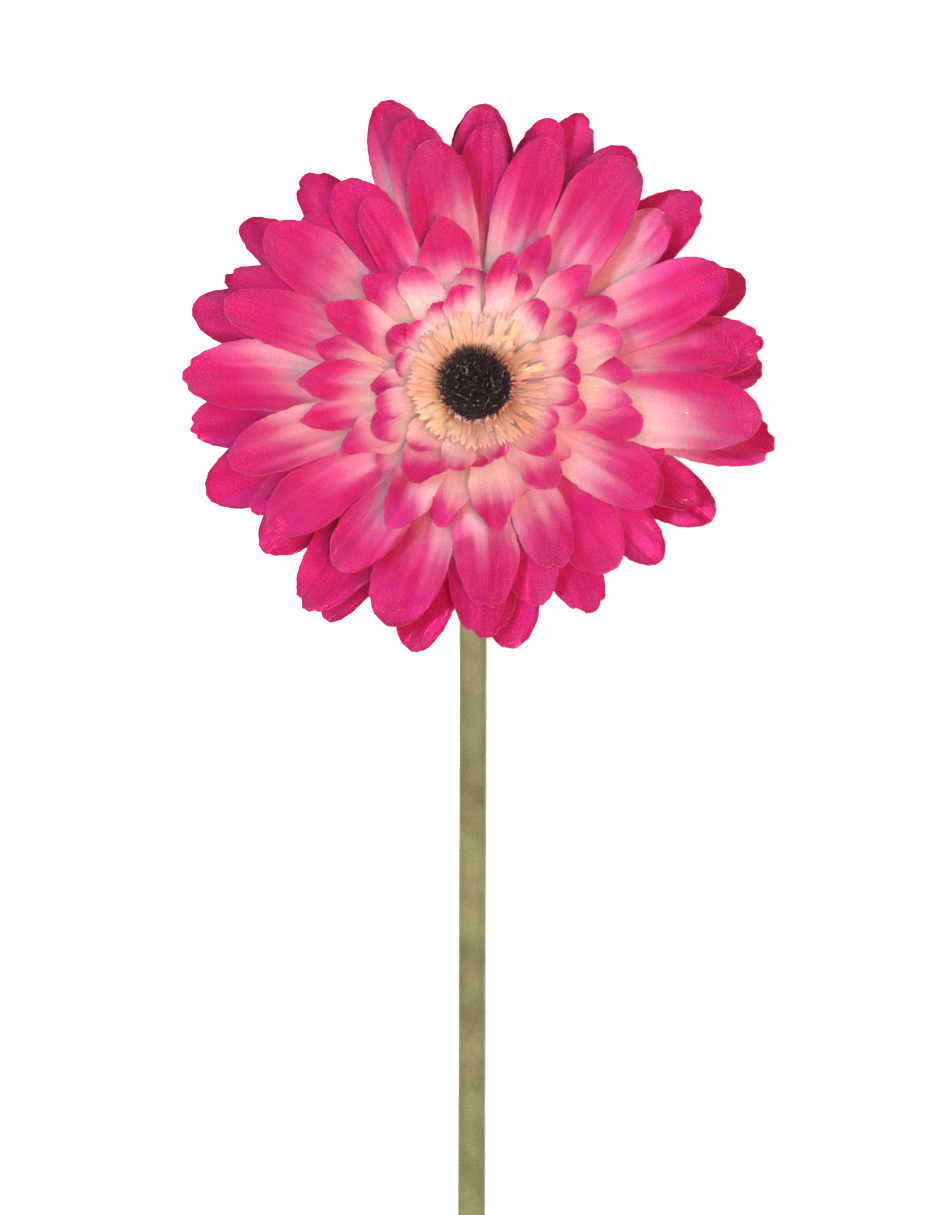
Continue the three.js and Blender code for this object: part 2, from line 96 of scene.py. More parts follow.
def new_material(name):
    """A new material, with its shader and its output, and the tree that holds them."""
    material = bpy.data.materials.new(name)
    material.use_nodes = True
    return material, material.node_tree


def add_node(tree, kind, settings=None, **inputs):
    """A shader node with its settings and inputs; an input that is a socket is joined to it."""
    node = tree.nodes.new("ShaderNode" + kind)
    for key, value in (settings or {}).items():
        setattr(node, key, value)
    for key, value in inputs.items():
        socket = node.inputs[int(key[1:]) if key[1:].isdigit() else key.replace("_", " ")]
        if isinstance(value, bpy.types.NodeSocket):
            tree.links.new(value, socket)
        else:
            socket.default_value = value
    return node


def hex_colour(text):
    """A colour written as six sRGB digits, in the linear numbers that shaders take."""
    shares = [int(text[i:i + 2], 16) / 255 for i in (0, 2, 4)]
    linear = [s / 12.92 if s <= 0.04045 else ((s + 0.055) / 1.055) ** 2.4 for s in shares]
    return (*linear, 1.0)


FLOOR_SIZE = 8.0
FLOOR_DROP = 0.05
FLOOR_GLOW = 0.8
PAPER_WHITE = "F4F4F4"
floor_mesh = bmesh.new()
bmesh.ops.create_grid(floor_mesh, x_segments=1, y_segments=1, size=FLOOR_SIZE / 2)
bmesh.ops.translate(floor_mesh, verts=floor_mesh.verts, vec=(0, 0, -FLOOR_DROP * MM))
floor_data = bpy.data.meshes.new("floor")
floor_mesh.to_mesh(floor_data)
floor_mesh.free()
floor_obj = bpy.data.objects.new("floor", floor_data)
bpy.context.collection.objects.link(floor_obj)
paper, tree = new_material("white_paper")
shader = tree.nodes["Principled BSDF"]
shader.inputs["Base Color"].default_value = hex_colour(PAPER_WHITE)
shader.inputs["Roughness"].default_value = 0.9
shader.inputs["Emission Color"].default_value = (1, 1, 1, 1)
shader.inputs["Emission Strength"].default_value = FLOOR_GLOW
floor_data.materials.append(paper)
floor_obj.visible_diffuse = False
floor_obj.visible_transmission = False

LAMP_SIDE = math.radians(155)
LAMP_RISE = math.radians(63)
LAMP_STRENGTH = 3.3
FRONT_SIDE = math.radians(-90)
FRONT_RISE = math.radians(45)
FRONT_STRENGTH = 4.1
GLOW_SIDE = math.radians(-30)
GLOW_RISE = math.radians(72)
GLOW_STRENGTH = 2.5
CRISP, SOFT = math.radians(4), math.radians(25)
WHITE_LIGHT, ROSY_LIGHT = (1, 1, 1), (1, 0.18, 0.18)
ROOM_STRENGTH = 0.38


def hang_lamp(name, side, rise, strength, colour, width):
    """A far lamp to one side and above, with its strength, its colour and its width in the sky."""
    lamp_data = bpy.data.lights.new(name, "SUN")
    lamp_data.energy = strength
    lamp_data.color = colour
    lamp_data.angle = width
    lamp = bpy.data.objects.new(name, lamp_data)
    toward = Vector((math.cos(rise) * math.cos(side), math.cos(rise) * math.sin(side), math.sin(rise)))
    lamp.rotation_euler = toward.to_track_quat("Z", "Y").to_euler()
    bpy.context.collection.objects.link(lamp)
    return lamp


main_lamp = hang_lamp("lamp", LAMP_SIDE, LAMP_RISE, LAMP_STRENGTH, WHITE_LIGHT, CRISP)
front_lamp = hang_lamp("front_lamp", FRONT_SIDE, FRONT_RISE, FRONT_STRENGTH, WHITE_LIGHT, SOFT)
rosy_glow = hang_lamp("rosy_glow", GLOW_SIDE, GLOW_RISE, GLOW_STRENGTH, ROSY_LIGHT, SOFT)

# each lamp lights only the pieces in its own collection, and each piece is put in below
lamp_lit = bpy.data.collections.new("lamp_lit")
lamp_lit.objects.link(floor_obj)
main_lamp.light_linking.receiver_collection = lamp_lit
front_lit = bpy.data.collections.new("front_lit")
front_lamp.light_linking.receiver_collection = front_lit
glow_lit = bpy.data.collections.new("glow_lit")
rosy_glow.light_linking.receiver_collection = glow_lit

world = bpy.data.worlds.new("white_room")
world.use_nodes = True
world.node_tree.nodes["Background"].inputs["Color"].default_value = (1, 1, 1, 1)
world.node_tree.nodes["Background"].inputs["Strength"].default_value = ROOM_STRENGTH
bpy.context.scene.world = world


# ---- Stem ------------------------------------------------------------------------------------
# A round moulded stem with a coat of short olive flock. It lies straight on the table, rises in a
# tight bend at the neck and ends inside the calyx's socket; its other end is cut square.
STEM_TOP = -6.5
NECK_SWAY, RUN_SWAY = -0.45, -1.2
STEM_SIDES = 40
STEM_ROWS = 150
STEM_LUMPS = 0.05
LUMPS_ALONG, LUMPS_ROUND = 0.25, 0.8
NECK_ROWS, NECK_SHARE = 0.25, 0.035
WELD = 0.01
DARK_OLIVE, LIGHT_OLIVE = "82784E", "9B9266"
FLOCK_GREEN = "8E9366"
FLOCK_SHEEN = "DCE0B4"


def stem_midline(share):
    """The stem's midline in table millimetres from the socket to the cut end, and its direction."""
    straight_up = STEM_TOP - NECK_START
    neck_length = NECK_RADIUS * NECK_TURN
    travelled = share * (straight_up + neck_length + STEM_RUN)
    if travelled < straight_up:
        height = STEM_TOP - travelled
        place = Vector((0, height * SIN_TILT, HEAD_HEIGHT + height * COS_TILT))
        return place, Vector((0, -SIN_TILT, -COS_TILT))
    turned = min((travelled - straight_up) / neck_length, 1)
    left = NECK_TURN * (1 - turned)
    run = max(travelled - straight_up - neck_length, 0)
    place = Vector((
        NECK_SWAY * turned + RUN_SWAY * run / STEM_RUN,
        NECK_START * SIN_TILT - NECK_RADIUS * (math.sin(NECK_TURN) - math.sin(left)) - run,
        STEM_WIDTH / 2 + NECK_RADIUS * (1 - math.cos(left))))
    return place, Vector((0, -math.cos(left), -math.sin(left)))


def stem_share(row):
    """Rows are close together in the socket and the neck, and wider apart along the run."""
    t = row / STEM_ROWS
    if t < NECK_ROWS:
        return t / NECK_ROWS * NECK_SHARE
    return NECK_SHARE + (t - NECK_ROWS) / (1 - NECK_ROWS) * (1 - NECK_SHARE)


def piece_from(bm, name):
    """A finished mesh as an object at the origin, smooth but for its marked edges."""
    data = bpy.data.meshes.new(name)
    for face in bm.faces:
        face.smooth = True
    bm.to_mesh(data)
    bm.free()
    obj = bpy.data.objects.new(name, data)
    bpy.context.collection.objects.link(obj)
    return obj


bm = bmesh.new()
bmesh.ops.create_grid(bm, x_segments=STEM_SIDES, y_segments=STEM_ROWS, size=0.5)
for vert in bm.verts:
    turn = (vert.co.x + 0.5) * 2 * math.pi
    row = round((vert.co.y + 0.5) * STEM_ROWS)
    place, ahead = stem_midline(stem_share(row))
    across = Vector((1, 0, 0))
    above = across.cross(ahead)
    outward = across * math.cos(turn) + above * math.sin(turn)
    lump = noise.noise(place * LUMPS_ALONG + outward * LUMPS_ROUND) * STEM_LUMPS
    underside = max(0.0, outward.dot(Vector((0, 0, -1))))
    radius = STEM_WIDTH / 2 + lump * (1 - underside)
    vert.co = (place + outward * radius + Vector((head_x, head_y, 0))) * MM
bmesh.ops.remove_doubles(bm, verts=bm.verts, dist=WELD * MM)
open_edges = [edge for edge in bm.edges if edge.is_boundary]
bmesh.ops.holes_fill(bm, edges=open_edges, sides=0)
bmesh.ops.recalc_face_normals(bm, faces=bm.faces)
for edge in open_edges:
    edge.smooth = False
stem_piece = piece_from(bm, "flocked_stem")

flock, tree = new_material("olive_flock")
shader = tree.nodes["Principled BSDF"]
coords = add_node(tree, "TexCoord")
blotches = add_node(tree, "TexNoise", Vector=coords.outputs["Object"], Scale=140.0, Detail=3.0)
patches = add_node(tree, "TexNoise", Vector=coords.outputs["Object"], Scale=45.0, Detail=1.0)
fibres = add_node(tree, "TexNoise", Vector=coords.outputs["Object"], Scale=2600.0, Detail=2.0)
olive = add_node(tree, "ValToRGB", Fac=blotches.outputs["Fac"])
olive.color_ramp.elements[0].position = 0.35
olive.color_ramp.elements[0].color = hex_colour(DARK_OLIVE)
olive.color_ramp.elements[1].position = 0.68
olive.color_ramp.elements[1].color = hex_colour(LIGHT_OLIVE)
greener = add_node(tree, "MapRange", Value=patches.outputs["Fac"], _1=0.45, _2=0.65, _3=0.0, _4=0.35)
green = add_node(tree, "Mix", {"data_type": "RGBA"}, _0=greener.outputs["Result"],
                 _6=olive.outputs["Color"], _7=hex_colour(FLOCK_GREEN))
speck = add_node(tree, "MapRange", Value=fibres.outputs["Fac"], _1=0.3, _2=0.7, _3=0.86, _4=1.12)
flocked = add_node(tree, "Mix", {"data_type": "RGBA", "blend_type": "MULTIPLY"},
                   _0=1.0, _6=green.outputs[2], _7=speck.outputs["Result"])
tree.links.new(flocked.outputs[2], shader.inputs["Base Color"])
nap = add_node(tree, "Bump", Height=fibres.outputs["Fac"], Strength=0.6, Distance=0.0002)
tree.links.new(nap.outputs["Normal"], shader.inputs["Normal"])
shader.inputs["Roughness"].default_value = 0.95
shader.inputs["Specular IOR Level"].default_value = 0.15
shader.inputs["Sheen Weight"].default_value = 1.0
shader.inputs["Sheen Roughness"].default_value = 0.35
shader.inputs["Sheen Tint"].default_value = hex_colour(FLOCK_SHEEN)
shader.inputs["Subsurface Weight"].default_value = 0.6
shader.inputs["Subsurface Radius"].default_value = (1.0, 0.9, 0.6)
shader.inputs["Subsurface Scale"].default_value = 0.003
stem_piece.data.materials.append(flock)
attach(stem_piece, "root")
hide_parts("stem")
front_lit.objects.link(stem_piece)


# ---- Calyx -----------------------------------------------------------------------------------
# A moulded green cup under the petals with two rows of pointed bracts lying up its side. The peg of
# the floret ring plugs into its top and the stem into its foot.
CALYX_TOP = -0.4
CALYX_RIM = 8.6
CALYX_FOOT_RADIUS = 4.2
CALYX_SIDES = 48
SOCKET_RADIUS, BORE_RADIUS = 3.3, 1.9
SOCKET_DEPTH, BORE_DEPTH = 4.2, 4.2
BRACT_THICKNESS = 0.6
BRACT_KEEL, BRACT_CURL, BRACT_HOLLOW = 0.35, 0.5, 0.33
SHARP_FOLD = 50
DARK_LEAF, LIGHT_LEAF = "5E6A33", "869254"
bract_rows = [
    {"count": 12, "foot": -9.6, "head": -1.2, "foot_radius": 4.9, "head_radius": 10.2,
     "width": 3.9, "turn": 0},
    {"count": 10, "foot": -10.0, "head": -4.6, "foot_radius": 4.5, "head_radius": 8.8,
     "width": 3.7, "turn": 15},
]


def turned_profile(bm, profile, sides):
    """A round body: the profile's points, as radius and height, spun about the head's axis."""
    verts = [bm.verts.new((radius, 0, height)) for radius, height in profile]
    edges = [bm.edges.new(pair) for pair in zip(verts, verts[1:])]
    bmesh.ops.spin(bm, geom=verts + edges, axis=(0, 0, 1), cent=(0, 0, 0), dvec=(0, 0, 0),
                   angle=2 * math.pi, steps=sides, use_merge=True)
    bmesh.ops.remove_doubles(bm, verts=bm.verts, dist=0.001)


def mark_sharp(bm, angle):
    """Marks the edges where faces meet at more than an angle in degrees, to shade as crisp folds."""
    for edge in bm.edges:
        if len(edge.link_faces) == 2 and edge.calc_face_angle(0) > math.radians(angle):
            edge.smooth = False


bm = bmesh.new()
turned_profile(bm, [
    (0, CALYX_FOOT + SOCKET_DEPTH), (SOCKET_RADIUS, CALYX_FOOT + SOCKET_DEPTH),
    (SOCKET_RADIUS, CALYX_FOOT), (CALYX_FOOT_RADIUS, CALYX_FOOT),
    (4.75, CALYX_FOOT + 1.0), (5.3, CALYX_FOOT + 2.6), (6.3, CALYX_FOOT + 4.9),
    (7.3, CALYX_FOOT + 7.0), (8.2, CALYX_FOOT + 8.8), (CALYX_RIM, CALYX_TOP - 0.5),
    (CALYX_RIM - 0.3, CALYX_TOP), (BORE_RADIUS, CALYX_TOP),
    (BORE_RADIUS, CALYX_TOP - BORE_DEPTH), (0, CALYX_TOP - BORE_DEPTH)], CALYX_SIDES)
bmesh.ops.recalc_face_normals(bm, faces=bm.faces)
for row in bract_rows:
    length = math.hypot(row["head"] - row["foot"], row["head_radius"] - row["foot_radius"])
    slope = math.atan2(row["head"] - row["foot"], row["head_radius"] - row["foot_radius"])
    for index in range(row["count"]):
        grid = bmesh.ops.create_grid(bm, x_segments=6, y_segments=10, size=0.5)["verts"]
        for vert in grid:
            q, along = vert.co.x * 2, vert.co.y + 0.5
            half = row["width"] / 2 * (0.7 + 0.5 * along) * math.sqrt(max(0.0, 1 - along ** 2.2))
            keel = BRACT_KEEL * (1 - abs(q)) * (1 - along * 0.5)
            curl = BRACT_CURL * along ** 3 - BRACT_HOLLOW * math.sin(math.pi * along)
            reach = row["foot_radius"] + along * length * math.cos(slope) + curl + keel - 0.25 * q * q
            vert.co = (reach, half * q, row["foot"] + along * length * math.sin(slope) - curl * 0.4)
        faces = {face for vert in grid for face in vert.link_faces}
        bmesh.ops.remove_doubles(bm, verts=grid, dist=0.02)
        faces = [face for face in faces if face.is_valid]
        made = bmesh.ops.solidify(bm, geom=faces, thickness=BRACT_THICKNESS)
        bract = {vert for face in faces for vert in face.verts}
        bract |= {item for item in made["geom"] if isinstance(item, bmesh.types.BMVert)}
        turn = math.radians(row["turn"]) + index * 2 * math.pi / row["count"]
        bmesh.ops.rotate(bm, verts=list(bract), cent=(0, 0, 0), matrix=Matrix.Rotation(turn, 3, "Z"))
mark_sharp(bm, SHARP_FOLD)
bmesh.ops.transform(bm, verts=bm.verts, matrix=HEAD_TO_TABLE)
calyx_piece = piece_from(bm, "calyx_cup")

leaf_green, tree = new_material("calyx_green")
shader = tree.nodes["Principled BSDF"]
coords = add_node(tree, "TexCoord")
veins = add_node(tree, "TexNoise", Vector=coords.outputs["Object"], Scale=380.0, Detail=4.0)
greens = add_node(tree, "ValToRGB", Fac=veins.outputs["Fac"])
greens.color_ramp.elements[0].position = 0.3
greens.color_ramp.elements[0].color = hex_colour(DARK_LEAF)
greens.color_ramp.elements[1].position = 0.7
greens.color_ramp.elements[1].color = hex_colour(LIGHT_LEAF)
tree.links.new(greens.outputs["Color"], shader.inputs["Base Color"])
grain = add_node(tree, "Bump", Height=veins.outputs["Fac"], Strength=0.35, Distance=0.0003)
tree.links.new(grain.outputs["Normal"], shader.inputs["Normal"])
shader.inputs["Roughness"].default_value = 0.6
calyx_piece.data.materials.append(leaf_green)
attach(calyx_piece, "root")
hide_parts("calyx")
lamp_lit.objects.link(calyx_piece)


# ---- Large petals ----------------------------------------------------------------------------
# Four layers of woven cloth cut into long petals, dyed hot pink from the tip and left pale at the
# root. Each layer is one piece of cloth: its petals part at slits and join in a washer on the peg.
LAYER_PITCH = 1.0
CLOTH = 0.28
CLOTH_LIFT = 0.31
WASHER_RADIUS = 7.0
WASHER_HOLE = 1.8
WASHER_SIDES = 60
PETAL_ROOT = 5.6
SLIT = 0.3
WIDEST_AT = 0.64
SHOULDER_AT = 0.6
ROOT_SHARE = 0.42
WIDEST_TURN = 40
LEAST_HALF_WIDTH = 0.2
STRAIGHT_ROWS = 0.7
PLACING_ROUNDS = 5
WOBBLE_PACE = 4
FRAY_GRAINS = (0.8, 2.1)
FRAY_SEED = 5
NOTCHED, POINTED = 1, 2
TIP_POINT = 0.5
NOTCH_DEPTH = 1.2
CREASE_DEPTH = 0.5
CREASE_WIDTH = 0.07
TABLE_GAP = 0.05
CLOTH_FOLD = 60
# deep pink is partly painted shade; mauve, pale fleck and cut edge are painted sheen, glints and edge
# highlight
DEEP_PINK, MAUVE_SHEEN, PAINTED_GLINT, EDGE_HIGHLIGHT = "DC2472", "C25B98", "F7B9D6", "FAC4D8"
CLOTH_SHEEN = "FFC4DC"
THROUGH_SHARE = 0.5

# the noise that frays the cut edges gets a seed, so that they fray the same way every time
noise.seed_set(FRAY_SEED)

# Each petal: tip angle, tip distance, width, lift of the tip, its tip's cut (0 round, 1 notched, 2
# pointed), and the share of its length at which the pale root has turned pink. Places are as seen
# from above, from the pile's middle. A creased petal is listed by its angle, with the places of its
# creases across it, from -1 at its right edge to 1 at its left.
large_layers = [
    {"name": "petal_layer_1", "cup": -1.0, "seat": 0, "petals": [
        (2.5, 57, 12, 0, 0, .54), (20.8, 57.4, 13, -.4, 0, .50), (40, 58, 14.2, .3, 1, .47),
        (68.5, 58, 11.6, -.7, 1, .58), (88.5, 55.8, 13.4, .4, 0, .50), (108, 59.2, 14.5, 0, 0, .76),
        (130, 53.6, 12.5, .3, 1, .50), (145.8, 56.5, 12, -.6, 0, .47), (165.4, 58.3, 13, 0, 0, .50),
        (189.2, 57.6, 13.6, -.5, 1, .54), (218.3, 54, 13.5, .2, 0, .50), (238, 55.8, 10.5, -.8, 0, .50),
        (257, 54.8, 13, -.3, 0, .54), (278, 53.4, 15, .2, 0, .45), (297, 51.2, 12.6, 0, 1, .50),
        (330, 54.3, 12.8, 0, 0, .58)]},
    {"name": "petal_layer_2", "cup": 1.5, "seat": 1, "creased": {89: (-.5,)}, "petals": [
        (7.6, 57.6, 13.8, .2, 1, .64), (57, 55.7, 14.5, 0, 0, .50), (74, 55, 11, -.4, 0, .52),
        (89, 54.6, 12.5, .3, 0, .50), (136.5, 47.5, 10, 0, 0, .26), (157, 54.2, 11.5, -.3, 1, .42),
        (202.8, 57.8, 14.3, 0, 0, .58), (233.2, 56.6, 14.5, .2, 1, .50), (272, 50.8, 14, 0, 1, .52),
        (315.8, 51, 11.4, -.6, 0, .53), (331, 50, 12.5, .4, 1, .58), (347.4, 60.6, 16, -.5, 1, .70)]},
    {"name": "petal_layer_3", "cup": 4.0, "seat": 2, "creased": {88: (-.3, .2), 144: (-.35,)}, "petals": [
        (6, 52.3, 13.5, 0, 0, .68), (41, 50.4, 13, 0, 0, .86), (88, 51.5, 10.5, -.3, 0, .50),
        (104.5, 54.6, 13, -.4, 0, .68), (124, 48.2, 13, 0, 0, .48), (144, 51.5, 14, .2, 0, .57),
        (178.9, 58.3, 14.8, 0, 1, .62), (210, 51.4, 9, -.5, 0, .58), (250.5, 51.5, 14.5, .3, 0, .56),
        (286, 46, 12, -.3, 0, .52), (306, 46.2, 14.5, 0, 0, .46), (337, 40.3, 10, .3, 0, .48)]},
    {"name": "petal_layer_4", "cup": 6.5, "seat": 3, "creased": {101: (.5, -.26), 121.5: (.1,)}, "petals": [
        (23, 54, 14.5, .5, 0, .58), (55, 53.5, 15.5, .8, 0, .57), (73.5, 50, 13, 1.4, 0, .58),
        (101, 48.8, 13, 1.0, 0, .53), (121.5, 42, 9.5, 1.6, 0, .50), (163, 52.3, 11.5, .8, 0, .52),
        (199, 51.6, 13, 1.2, 0, .67), (216, 50, 14, .6, 0, .50), (234.5, 46.6, 12.5, 1.5, 0, .62),
        (273.5, 45.4, 13, 1.6, 1, .67), (294, 40.8, 12, 1.2, 1, .66), (326.5, 43.3, 13.5, 1.8, 0, .66),
        (351.5, 57, 16, .8, 0, .66)]},
]


def smooth_step(low, high, value):
    """Zero below low, one above high, and a smooth rise between them."""
    t = min(max((value - low) / (high - low), 0.0), 1.0)
    return t * t * (3 - 2 * t)


def layer_height(layer, radius):
    """A layer is flat under the florets and rises at its cup angle outside its washer."""
    cupped = max(0.0, radius - WASHER_RADIUS) * math.tan(math.radians(layer["cup"]))
    return layer["seat"] * LAYER_PITCH + cupped


def place_seen(layer, angle, distance):
    """The place in a layer, in plan, of a point seen at an angle and distance from straight above."""
    x, seen_y = distance * math.cos(angle), distance * math.sin(angle)
    y = seen_y
    for _ in range(PLACING_ROUNDS):
        raised = layer_height(layer, math.hypot(x, y)) - VIEW_CENTRE_HEIGHT
        y = (seen_y - raised * SIN_TILT) / COS_TILT
    return Vector((x, y))


def petal_midline(layer, petal):
    """A petal's midline as the three points of a curve: in the washer, beside it, and at the tip."""
    angle, distance = math.radians(petal[0]), petal[1]
    tip = place_seen(layer, angle, distance)
    shoulder = place_seen(layer, angle, WASHER_RADIUS + SHOULDER_AT * (distance - WASHER_RADIUS))
    root = shoulder.normalized() * PETAL_ROOT
    rest = 1 - SHOULDER_AT
    control = (shoulder - root * rest ** 2 - tip * SHOULDER_AT ** 2) / (2 * SHOULDER_AT * rest)
    return root, control, tip


def on_midline(midline, along):
    """The place and direction at a share of a midline's length."""
    root, control, tip = midline
    place = root * (1 - along) ** 2 + control * 2 * along * (1 - along) + tip * along ** 2
    ahead = ((control - root) * (1 - along) + (tip - control) * along).normalized()
    return place, ahead


def parting_rays(midlines, petals, index):
    """The rays from the washer's middle that part a petal from its neighbours in the same layer."""
    angle_of = [math.atan2(root.y, root.x) for root, _, _ in midlines]
    rays = []
    for side in (1, -1):
        beside = (index + side) % len(petals)
        gap = ((angle_of[beside] - angle_of[index]) * side) % (2 * math.pi)
        share = petals[index][2] / (petals[index][2] + petals[beside][2])
        rays.append(angle_of[index] + side * min(gap * share, math.radians(WIDEST_TURN)))
    return rays


def room_beside(place, across, side, ray):
    """How far a petal may reach to one side before it crosses the ray that parts it there."""
    outward = Vector((-math.sin(ray), math.cos(ray))) * side
    return max((-SLIT / 2 - outward.dot(place)) / (outward.dot(across) * side), LEAST_HALF_WIDTH)


def petal_rows(count, first_tip_row, row):
    """A row's share of the petal's straight part, and its share of the rounded tip."""
    if row <= first_tip_row:
        return row / first_tip_row, 0.0
    return 1.0, (row - first_tip_row) / (count - first_tip_row)


def petal_traits(layer, index, shape):
    """What sets one petal apart: its soft grooves, creases, waves, roll, curl, nicks and dye."""
    draw = random.Random(f"{layer['name']} {index}")
    grooves = [(draw.uniform(-0.8, 0.8), draw.uniform(0.12, 0.24), shape["groove"] * draw.uniform(0.4, 1.2))
               for _ in range(draw.choice((2, 3, 4)))]
    creases = layer.get("creased", {}).get(layer["petals"][index][0], ())
    return {
        "grooves": grooves + [(place, CREASE_WIDTH, CREASE_DEPTH) for place in creases],
        "wave": (draw.uniform(0, 6), draw.uniform(0, 6)),
        "roll": draw.uniform(-1, 1) * shape["roll"],
        "curl": draw.uniform(-1, 1) * shape["curl"],
        "nicks": [(draw.uniform(-0.45, -0.1), 0.16, 1.0), (draw.uniform(0.15, 0.5), 0.12, 0.7)],
        "bluntness": draw.uniform(0.85, 1.1) * shape["bluntness"],
        "tone": draw.random()}


def outline_spot(column, row, traits, shape, cut):
    """A grid point's share of the half width and of the length, and how near the petal's rim it is."""
    straight, rounding = petal_rows(shape["along"], round(shape["along"] * STRAIGHT_ROWS), row)
    q = column * math.sqrt(1 - rounding ** 2 / 2)
    past = max(rounding * math.sqrt(1 - column ** 2 / 2), 0.0)
    if cut == POINTED:
        q *= 1 - TIP_POINT * past ** 2
    along = WIDEST_AT * straight + (1 - WIDEST_AT) * past ** (2 / traits["bluntness"])
    return q, along, max(abs(column), rounding), rounding


def surface_rise(q, along, traits, shape):
    """How far the cloth's surface stands above its layer, from its trough, grooves, ribs and curl."""
    open_out = smooth_step(0.12, 0.6, along)
    rise = shape["trough"] * (q * q - 0.5) + traits["roll"] * q
    for place, width, depth in traits["grooves"]:
        rise -= depth * math.exp(-((q - place) / width) ** 2)
    wave_at, wave_turn = traits["wave"]
    rise += shape["wave"] * math.sin(along * 7 + wave_at) * math.cos(q * 2 + wave_turn)
    rise += shape["ribs"] * math.sin(q * 9 + wave_turn + along) * (1 - q * q)
    return open_out * rise + traits["curl"] * smooth_step(0.7, 1.0, along)


def sew_petal(bm, layer, midlines, index, shape):
    """Adds one petal to a layer: a fine grid laid on its outline, with its surface and cut edge."""
    petal = layer["petals"][index]
    angle, distance, width, lift, cut, pale = petal
    traits = petal_traits(layer, index, shape)
    rays = parting_rays(midlines, layer["petals"], index)
    turn = math.radians(angle)
    widest = width / 2 * math.hypot(math.sin(turn), math.cos(turn) / COS_TILT)
    cloth_map, petal_map = bm.loops.layers.uv["Cloth"], bm.loops.layers.uv["Petal"]
    pale_layer, tone_layer, edge_layer = (bm.verts.layers.float[name] for name in ("pale", "tone", "edge"))
    grid = bmesh.ops.create_grid(bm, x_segments=shape["across"], y_segments=shape["along"],
                                 size=0.5)["verts"]
    spots = {}
    for vert in grid:
        column, row = vert.co.x * 2, round((vert.co.y + 0.5) * shape["along"])
        q, along, rim, rounding = outline_spot(column, row, traits, shape, cut)
        share = ROOT_SHARE + (1 - ROOT_SHARE) * smooth_step(0, WIDEST_AT, along)
        if cut == NOTCHED:
            nick = max(depth * max(0.0, 1 - abs(q - place) / wide)
                       for place, wide, depth in traits["nicks"])
            along -= nick * NOTCH_DEPTH / distance * smooth_step(0.5, 1.0, rounding)
        place, ahead = on_midline(midlines[index], along)
        across = Vector((-ahead.y, ahead.x))
        side = 0 if q >= 0 else 1
        uneven = 1 + shape["wobble"] * noise.noise(Vector((along * WOBBLE_PACE, side * 9, index * 3.7)))
        half = min(widest * share * uneven, room_beside(place, across, 1 - 2 * side, rays[side]))
        spot = place + across * half * q
        fray = shape["ragged"] * smooth_step(0.8, 1.0, rim) * smooth_step(0.2, 0.4, along)
        for fineness in FRAY_GRAINS:
            jag = noise.noise_vector(Vector((spot.x * fineness, spot.y * fineness, index)))
            spot += Vector((jag.x, jag.y)) * fray / fineness
        height = layer_height(layer, spot.length) + CLOTH_LIFT + lift * along ** 3
        height += surface_rise(q, along, traits, shape)
        above_table = HEAD_HEIGHT + height * COS_TILT - spot.y * SIN_TILT
        height += max(0.0, CLOTH + TABLE_GAP - above_table) / COS_TILT
        spots[vert] = (q, along, half * q, along * distance)
        vert[pale_layer], vert[tone_layer], vert[edge_layer] = pale, traits["tone"], float(rim > 0.999)
        vert.co = (spot.x, spot.y, height)
    for face in {face for vert in grid for face in vert.link_faces}:
        for loop in face.loops:
            q, along, side_mm, along_mm = spots[loop.vert]
            loop[petal_map].uv = (q / 2 + 0.5, along)
            loop[cloth_map].uv = (side_mm, along_mm)


def cloth_layer(layer, shape):
    """One cloth layer as a finished mesh: its washer and petals, given the cloth's thickness."""
    bm = bmesh.new()
    for uv_name in ("Petal", "Cloth"):
        bm.loops.layers.uv.new(uv_name)
    for value in ("pale", "tone", "edge"):
        bm.verts.layers.float.new(value)
    height = layer["seat"] * LAYER_PITCH + CLOTH_LIFT - CLOTH * 0.8
    turned_profile(bm, [(WASHER_HOLE, height), (WASHER_RADIUS, height)], WASHER_SIDES)
    pale_layer = bm.verts.layers.float["pale"]
    for vert in bm.verts:
        vert[pale_layer] = 1.0
    midlines = [petal_midline(layer, petal) for petal in layer["petals"]]
    for index in range(len(layer["petals"])):
        sew_petal(bm, layer, midlines, index, shape)
    bmesh.ops.recalc_face_normals(bm, faces=bm.faces)
    for face in bm.faces:
        if face.normal.z < 0:
            face.normal_flip()
    bmesh.ops.solidify(bm, geom=list(bm.faces), thickness=CLOTH)
    mark_sharp(bm, CLOTH_FOLD)
    bmesh.ops.transform(bm, verts=bm.verts, matrix=HEAD_TO_TABLE)
    return bm


